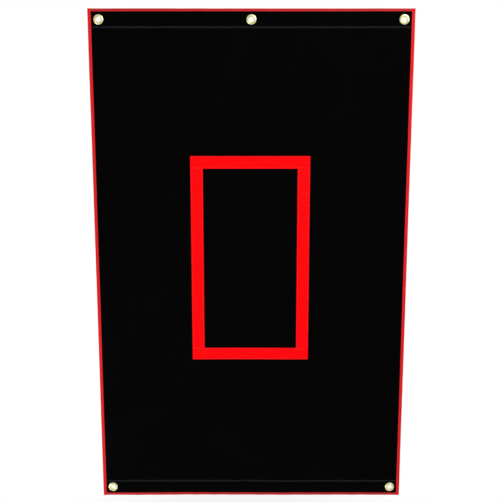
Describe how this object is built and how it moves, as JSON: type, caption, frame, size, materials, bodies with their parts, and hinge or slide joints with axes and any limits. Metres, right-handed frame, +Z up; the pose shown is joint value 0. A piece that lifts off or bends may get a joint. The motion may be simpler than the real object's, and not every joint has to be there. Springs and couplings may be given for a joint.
{
  "type": "hanging ball target backstop panel",
  "caption": "Rectangular black coated-cloth backstop panel with a red sewn target frame, red edge binding, webbing-backed hems and brass grommets to hang it by.",
  "frame": {"origin": "centre of the top middle grommet's hole, halfway through the hem's thickness", "axes": "+Z up the panel's height, +X across its width to the right as seen from the front, +Y through its thickness to the back; the target side faces -Y"},
  "size_m": [1.2192, 0.0066, 1.9304],
  "materials": {
    "sheet_vinyl": "satin",
    "hem_webbing": "matte",
    "binding_tape": "satin",
    "target_vinyl": "satin",
    "grommet_brass": "polished",
    "hem_thread": "satin",
    "red_thread": "satin"
  },
  "bodies": {
    "root": {"main_sheet": "sheet_vinyl", "top_hem_webbing": "hem_webbing", "bottom_hem_webbing": "hem_webbing", "top_binding": "binding_tape", "bottom_binding": "binding_tape", "left_binding": "binding_tape", "right_binding": "binding_tape", "target_strip_top": "target_vinyl", "target_strip_bottom": "target_vinyl", "target_strip_left": "target_vinyl", "target_strip_right": "target_vinyl", "grommet_top_left": "grommet_brass", "grommet_top_centre": "grommet_brass", "grommet_top_right": "grommet_brass", "grommet_bottom_left": "grommet_brass", "grommet_bottom_right": "grommet_brass", "washer_top_left": "grommet_brass", "washer_top_centre": "grommet_brass", "washer_top_right": "grommet_brass", "washer_bottom_left": "grommet_brass", "washer_bottom_right": "grommet_brass", "top_hem_stitching": "hem_thread", "bottom_hem_stitching": "hem_thread", "top_binding_stitching": "red_thread", "bottom_binding_stitching": "red_thread", "left_binding_stitching": "red_thread", "right_binding_stitching": "red_thread", "target_stitching_top": "red_thread", "target_stitching_bottom": "red_thread", "target_stitching_left": "red_thread", "target_stitching_right": "red_thread"}
  },
  "joints": []
}
